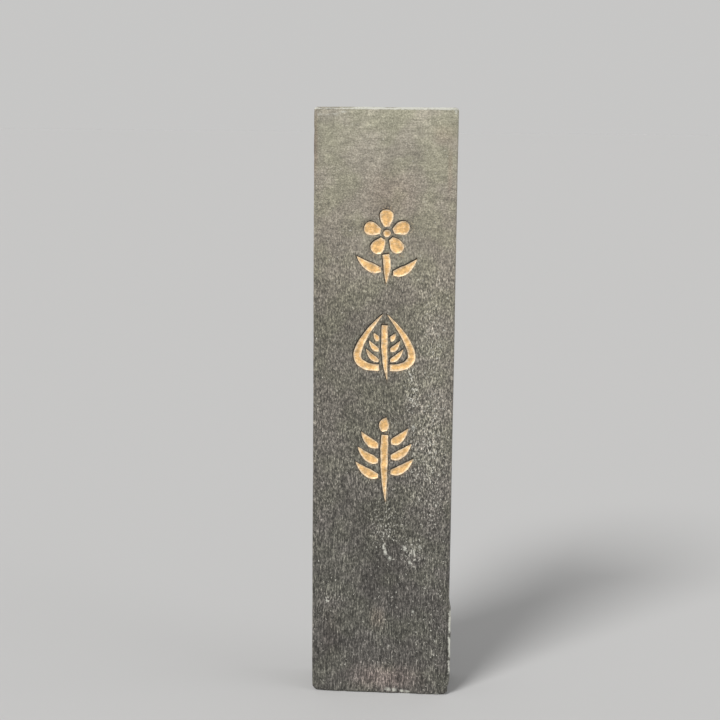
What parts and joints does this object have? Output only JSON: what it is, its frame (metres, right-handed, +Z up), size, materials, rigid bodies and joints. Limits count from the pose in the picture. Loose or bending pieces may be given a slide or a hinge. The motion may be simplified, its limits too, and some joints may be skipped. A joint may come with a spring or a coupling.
{
  "type": "ink stick",
  "caption": "Flat rectangular stick of pressed black ink for grinding on an inkstone, with incised and gilded plant motifs in a column on its front face.",
  "frame": {"origin": "centre of the foot, the flat end that the stick stands on", "axes": "+Z up along the stick's length, -Y out of the decorated front face, +X across that face to the viewer's right"},
  "size_m": [0.0236, 0.0104, 0.1],
  "materials": {
    "ink": "matte",
    "gilt": "matte"
  },
  "bodies": {
    "root": {"ink_body": "ink", "gilt_blossom_petal_1": "gilt", "gilt_blossom_petal_2": "gilt", "gilt_blossom_petal_3": "gilt", "gilt_blossom_petal_4": "gilt", "gilt_blossom_petal_5": "gilt", "gilt_blossom_eye": "gilt", "gilt_blossom_stem": "gilt", "gilt_blossom_leaf_left": "gilt", "gilt_blossom_leaf_right": "gilt", "gilt_leaf_edge_left": "gilt", "gilt_leaf_edge_right": "gilt", "gilt_leaf_midrib": "gilt", "gilt_leaf_vein_left_1": "gilt", "gilt_leaf_vein_left_2": "gilt", "gilt_leaf_vein_left_3": "gilt", "gilt_leaf_vein_right_1": "gilt", "gilt_leaf_vein_right_2": "gilt", "gilt_leaf_vein_right_3": "gilt", "gilt_sprig_stem": "gilt", "gilt_sprig_bud": "gilt", "gilt_sprig_leaf_left_1": "gilt", "gilt_sprig_leaf_left_2": "gilt", "gilt_sprig_leaf_left_3": "gilt", "gilt_sprig_leaf_right_1": "gilt", "gilt_sprig_leaf_right_2": "gilt", "gilt_sprig_leaf_right_3": "gilt"}
  },
  "joints": []
}
